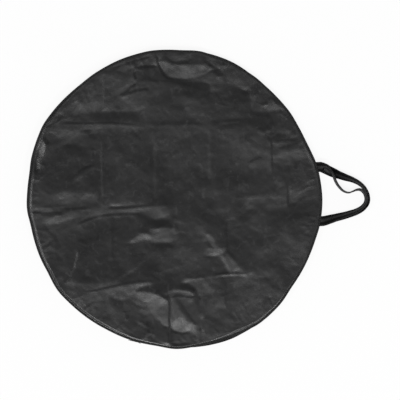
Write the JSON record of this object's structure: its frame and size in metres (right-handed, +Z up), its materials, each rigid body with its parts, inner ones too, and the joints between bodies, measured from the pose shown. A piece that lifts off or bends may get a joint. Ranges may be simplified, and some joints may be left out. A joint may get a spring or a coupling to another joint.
{
  "type": "bike wheel bag",
  "caption": "Round flat zipped carrying bag for a bicycle wheel: coated cloth panels, bound seams, a long side zipper and webbing handles, lying empty on its back.",
  "frame": {"origin": "centre of the round bag on the surface that its back panel lies on", "axes": "+Z up through the bag from the back panel to the front panel, +X towards the carrying handles"},
  "size_m": [0.8707, 0.745, 0.03],
  "materials": {
    "panel_cloth": "black coated nylon, satin",
    "side_cloth": "black coated nylon, satin",
    "binding_tape": "black woven tape, matte",
    "zipper_tape": "black woven zipper tape, matte",
    "zipper_coil": "black nylon coil",
    "slider_metal": "black coated zinc",
    "webbing": "black polypropylene webbing, matte"
  },
  "bodies": {
    "root": {"back_panel": "panel_cloth", "back_binding": "binding_tape", "gusset": "side_cloth", "front_panel_fixed": "panel_cloth", "front_binding_fixed": "binding_tape", "zipper_tape_back": "zipper_tape", "zipper_coil_back": "zipper_coil", "zipper_tape_front_start": "zipper_tape", "zipper_tape_front_finish": "zipper_tape", "zipper_coil_front_start": "zipper_coil", "zipper_coil_front_finish": "zipper_coil", "zip_end_tab_start": "side_cloth", "zip_end_tab_finish": "side_cloth", "back_handle_end_upper": "webbing", "back_handle_end_lower": "webbing"},
    "flap": {"front_panel_flap": "panel_cloth", "front_binding_flap": "binding_tape", "zipper_tape_front": "zipper_tape", "zipper_coil_front": "zipper_coil", "front_handle_end_upper": "webbing", "front_handle_end_lower": "webbing"},
    "slider": {"slider_body": "slider_metal", "slider_bridge": "slider_metal"},
    "pull_tab": {"pull_tab": "slider_metal"},
    "front_handle": {"front_handle": "webbing"},
    "back_handle": {"back_handle": "webbing"}
  },
  "joints": [
    {"name": "flap_fold", "type": "hinge", "parent": "root", "child": "flap", "pos_m": [-0.05827, 0, 0.03], "axis": [0, -1, 0], "range_deg": [0, 150]},
    {"name": "zip_travel", "type": "hinge", "parent": "root", "child": "slider", "pos_m": [0, 0, 0.015], "axis": [0, 0, 1], "range_deg": [0, 206.74]},
    {"name": "pull_tab_swing", "type": "hinge", "parent": "slider", "child": "pull_tab", "pos_m": [-0.08601, -0.36192, 0.015], "axis": [0, 0, 1], "range_deg": [0, 170]},
    {"name": "front_handle_swing", "type": "hinge", "parent": "flap", "child": "front_handle", "pos_m": [0.37076, 0.01295, 0.0266], "axis": [0.0349, -0.9994, 0], "range_deg": [0, 110]},
    {"name": "back_handle_swing", "type": "hinge", "parent": "root", "child": "back_handle", "pos_m": [0.37076, 0.01295, 0.0034], "axis": [-0.0349, 0.9994, 0], "range_deg": [0, 110]}
  ]
}
